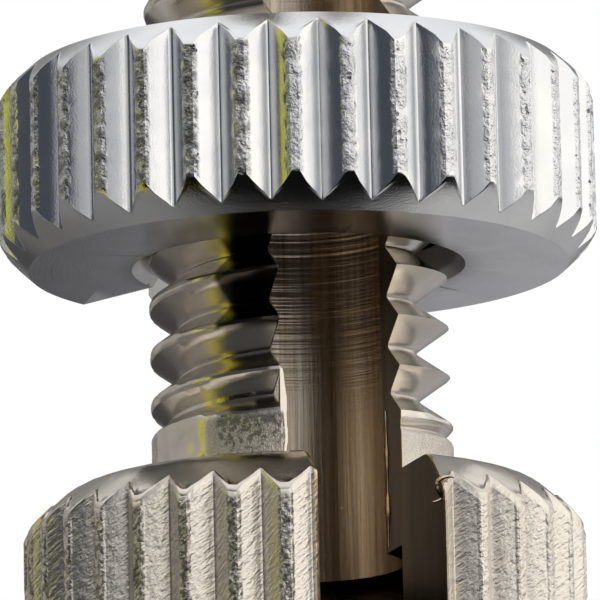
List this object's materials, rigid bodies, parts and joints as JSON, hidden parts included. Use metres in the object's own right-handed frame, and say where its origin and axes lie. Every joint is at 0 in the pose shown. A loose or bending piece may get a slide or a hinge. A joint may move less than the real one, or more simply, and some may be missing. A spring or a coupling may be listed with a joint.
{
  "type": "adjusting screw",
  "caption": "Slotted knurled cable adjusting screw with a threaded shank, a stepped bore for wire and casing, and a slotted knurled lock nut on the thread.",
  "frame": {"origin": "centre of the head's end face, on the axis of the screw", "axes": "+Z along the screw towards the free end of the thread, -Y out through the wire slot"},
  "size_m": [0.0118, 0.0118, 0.0341],
  "materials": {
    "nickel": "nickel-plated brass, turned and knurled",
    "bright_aluminium": "bright aluminium, turned and knurled"
  },
  "bodies": {
    "screw": {"adjusting_screw": "nickel"},
    "nut": {"lock_nut": "bright_aluminium"}
  },
  "joints": [
    {"name": "nut_travel", "type": "slide", "parent": "screw", "child": "nut", "axis": [0, 0, 1], "range_m": [-0.003, 0.016]}
  ]
}
